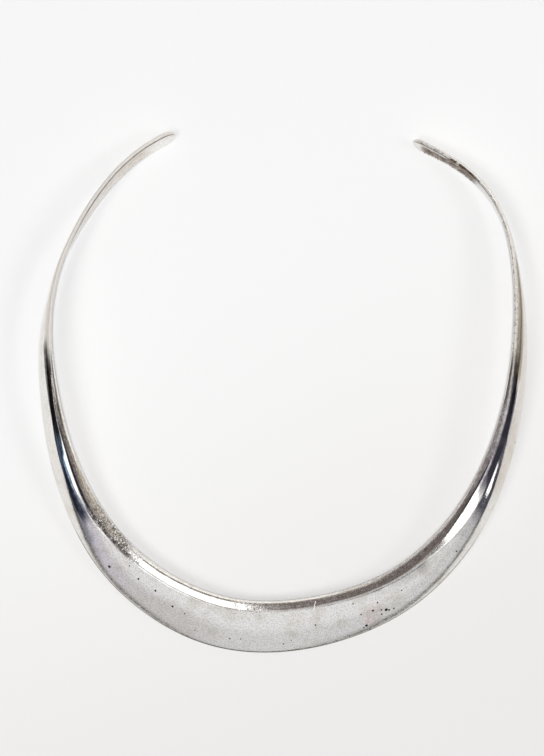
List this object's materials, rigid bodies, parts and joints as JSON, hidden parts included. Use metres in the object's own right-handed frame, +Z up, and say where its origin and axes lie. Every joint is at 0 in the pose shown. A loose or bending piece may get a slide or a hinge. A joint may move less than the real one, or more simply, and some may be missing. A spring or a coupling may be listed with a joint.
{
  "type": "collar necklace",
  "caption": "Rigid open neck ring of polished silver: a broad tapering crescent at the throat, slim arms that turn upright, and rounded flat tips at the back opening.",
  "frame": {"origin": "under the middle of the ring's bounding box, on the surface that it lies on", "axes": "+Z up from the surface, +Y towards the opening between the tips, -Y towards the broad front, +X to the wearer's left, which is the right of the picture"},
  "size_m": [0.1264, 0.1356, 0.0139],
  "materials": {
    "silver": "polished, fine handling scratches, light tarnish"
  },
  "bodies": {
    "root": {"collar": "silver"}
  },
  "joints": []
}
